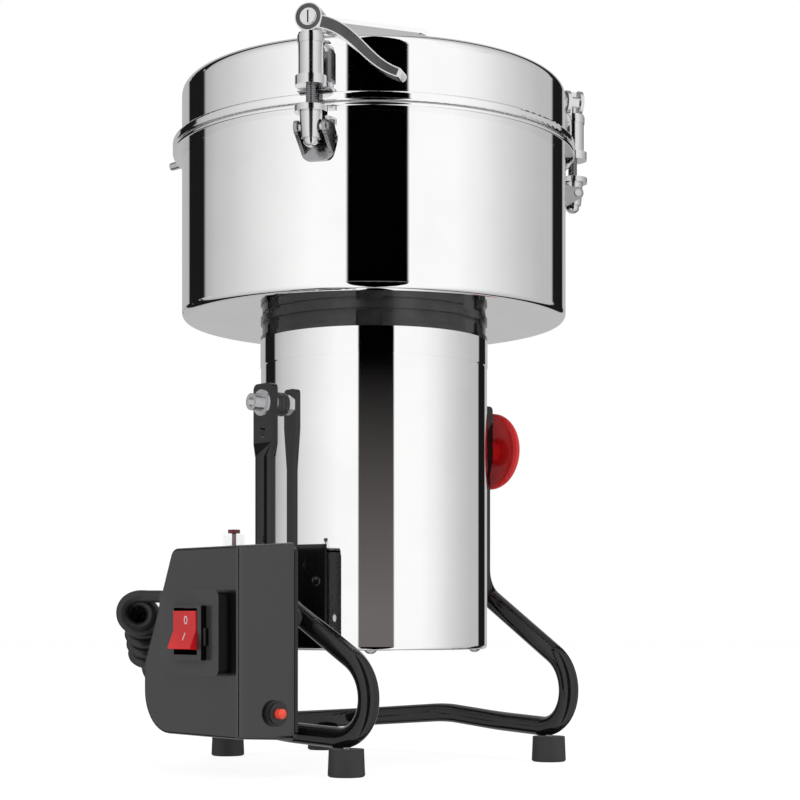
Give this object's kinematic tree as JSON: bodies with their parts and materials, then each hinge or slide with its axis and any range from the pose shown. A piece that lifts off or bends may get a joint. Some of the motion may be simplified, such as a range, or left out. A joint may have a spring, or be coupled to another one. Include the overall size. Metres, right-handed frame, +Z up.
{
  "type": "electric grain mill",
  "caption": "Upright electric grain mill: a round lidded bowl on a motor that tips forward between the uprights of a bent tube stand with a control box.",
  "frame": {"origin": "on the floor, under the axis of the motor, bowl and lid", "axes": "+Z up; -Y the front, where the stand's loops are and towards which the head tips; +X the side of the locking knob, -X the side of the control box"},
  "size_m": [0.353, 0.3057, 0.5274],
  "materials": {
    "black_gloss": "gloss black powder coat",
    "rubber": "matt black rubber",
    "zinc_steel": "bright zinc",
    "dark_plastic": "black moulded plastic",
    "box_plastic": "dark grey moulded plastic, satin",
    "clear_plastic": "clear flexible boot",
    "board": "green circuit board",
    "lead_rubber": "smooth black lead",
    "rocker_red": "red plastic",
    "reset_red": "bright red plastic",
    "maroon_plastic": "dark red plastic",
    "knob_red": "red moulded plastic",
    "polished_steel": "mirror polished stainless steel",
    "polished_rod": "bright steel",
    "cast_bright": "polished casting",
    "cast_dark": "dark grey casting",
    "core_steel": "varnished laminations",
    "copper": "enamelled copper",
    "bearing_steel": "ground steel",
    "carbon": "pressed carbon",
    "seal_rubber": "pale silicone",
    "blade_steel": "ground stainless steel"
  },
  "bodies": {
    "stand": {"tube_frame": "black_gloss", "rubber_feet": "rubber", "foot_screws": "zinc_steel", "pivot_bolts": "zinc_steel", "pivot_washers": "zinc_steel", "pivot_spacers": "dark_plastic", "control_box": "box_plastic", "box_back_plate": "black_gloss", "box_screws": "zinc_steel", "switch_plate": "box_plastic", "switch_body": "dark_plastic", "breaker_body": "dark_plastic", "button_guard": "clear_plastic", "circuit_board": "board", "box_gland": "dark_plastic", "cord_coil": "lead_rubber", "cord_tails": "lead_rubber"},
    "rocker": {"rocker": "rocker_red"},
    "reset_button": {"reset_button": "reset_red"},
    "start_button": {"start_button": "maroon_plastic"},
    "lock": {"lock_knob": "knob_red", "lock_stud": "zinc_steel"},
    "head": {"motor_barrel": "polished_steel", "motor_bottom_cap": "polished_steel", "motor_top_cap": "polished_steel", "bottom_screws": "zinc_steel", "bowl_adapter": "cast_dark", "bowl": "polished_steel", "stator_core": "core_steel", "field_coils": "copper", "upper_bearing": "bearing_steel", "lower_bearing": "bearing_steel", "brush_holders": "dark_plastic", "carbon_brushes": "carbon", "pivot_arm_left": "black_gloss", "pivot_arm_right": "black_gloss", "saddle_rivets": "black_gloss", "bowl_brackets": "cast_bright", "bracket_pins": "zinc_steel", "motor_gland": "dark_plastic"},
    "lid": {"lid_shell": "polished_steel", "lid_seal": "seal_rubber", "lid_brackets": "cast_bright", "lid_handle": "cast_bright", "handle_screws": "zinc_steel"},
    "rod_1": {"tie_rod_1": "polished_rod", "clamp_sleeve_1": "polished_rod"},
    "rod_2": {"tie_rod_2": "polished_rod", "clamp_sleeve_2": "polished_rod"},
    "rod_3": {"tie_rod_3": "polished_rod", "clamp_sleeve_3": "polished_rod"},
    "lever_1": {"cam_lever_1": "cast_bright"},
    "lever_2": {"cam_lever_2": "cast_bright"},
    "lever_3": {"cam_lever_3": "cast_bright"},
    "rotor": {"rotor_shaft": "bearing_steel", "armature_core": "core_steel", "commutator": "copper", "cooling_fan": "dark_plastic", "grinding_blades": "blade_steel", "blade_nut": "blade_steel"}
  },
  "joints": [
    {"name": "head_swing", "type": "hinge", "parent": "stand", "child": "head", "pos_m": [0, -0.011, 0.248], "axis": [1, 0, 0], "range_deg": [0, 95], "deforming": ["cord_coil", "cord_tails"]},
    {"name": "clamp_1_swing", "type": "hinge", "parent": "head", "child": "rod_1", "pos_m": [-0.12601, -0.085, 0.4155], "axis": [0.5592, -0.829, 0], "range_deg": [0, 100]},
    {"name": "clamp_1_lever", "type": "hinge", "parent": "rod_1", "child": "lever_1", "pos_m": [-0.12601, -0.085, 0.484], "axis": [-0.829, -0.5592, 0], "range_deg": [0, 150]},
    {"name": "clamp_2_swing", "type": "hinge", "parent": "head", "child": "rod_2", "pos_m": [0.13662, -0.06663, 0.4155], "axis": [0.4384, 0.8988, 0], "range_deg": [0, 100]},
    {"name": "clamp_2_lever", "type": "hinge", "parent": "rod_2", "child": "lever_2", "pos_m": [0.13662, -0.06663, 0.484], "axis": [0.8988, -0.4384, 0], "range_deg": [0, 150]},
    {"name": "clamp_3_swing", "type": "hinge", "parent": "head", "child": "rod_3", "pos_m": [-0.0106, 0.15163, 0.4155], "axis": [-0.9976, -0.0698, 0], "range_deg": [0, 100]},
    {"name": "clamp_3_lever", "type": "hinge", "parent": "rod_3", "child": "lever_3", "pos_m": [-0.0106, 0.15163, 0.484], "axis": [-0.0698, 0.9976, 0], "range_deg": [0, 150]},
    {"name": "lid_lift", "type": "slide", "parent": "head", "child": "lid", "axis": [0, 0, 1], "range_m": [0, 0.014]},
    {"name": "rotor_spin", "type": "hinge", "parent": "head", "child": "rotor", "pos_m": [0, 0, 0.2], "axis": [0, 0, 1], "continuous": true},
    {"name": "switch_tip", "type": "hinge", "parent": "stand", "child": "rocker", "pos_m": [-0.1719, -0.0214, 0.0935], "axis": [0, -1, 0], "range_deg": [0, 22]},
    {"name": "reset_press", "type": "slide", "parent": "stand", "child": "reset_button", "axis": [0, 1, 0], "range_m": [0, 0.002], "stiffness_N_per_m": 400},
    {"name": "start_press", "type": "slide", "parent": "stand", "child": "start_button", "axis": [0, 0, -1], "range_m": [0, 0.003], "stiffness_N_per_m": 400},
    {"name": "lock_turn", "type": "hinge", "parent": "stand", "child": "lock", "pos_m": [0.103, -0.011, 0.228], "axis": [1, 0, 0], "continuous": true}
  ],
  "couplings": [
    {"joint": "clamp_2_swing", "follows": "clamp_1_swing", "ratio": 1},
    {"joint": "clamp_3_swing", "follows": "clamp_1_swing", "ratio": 1},
    {"joint": "lid_lift", "follows": "clamp_1_swing", "m_per_rad": 0.008}
  ]
}
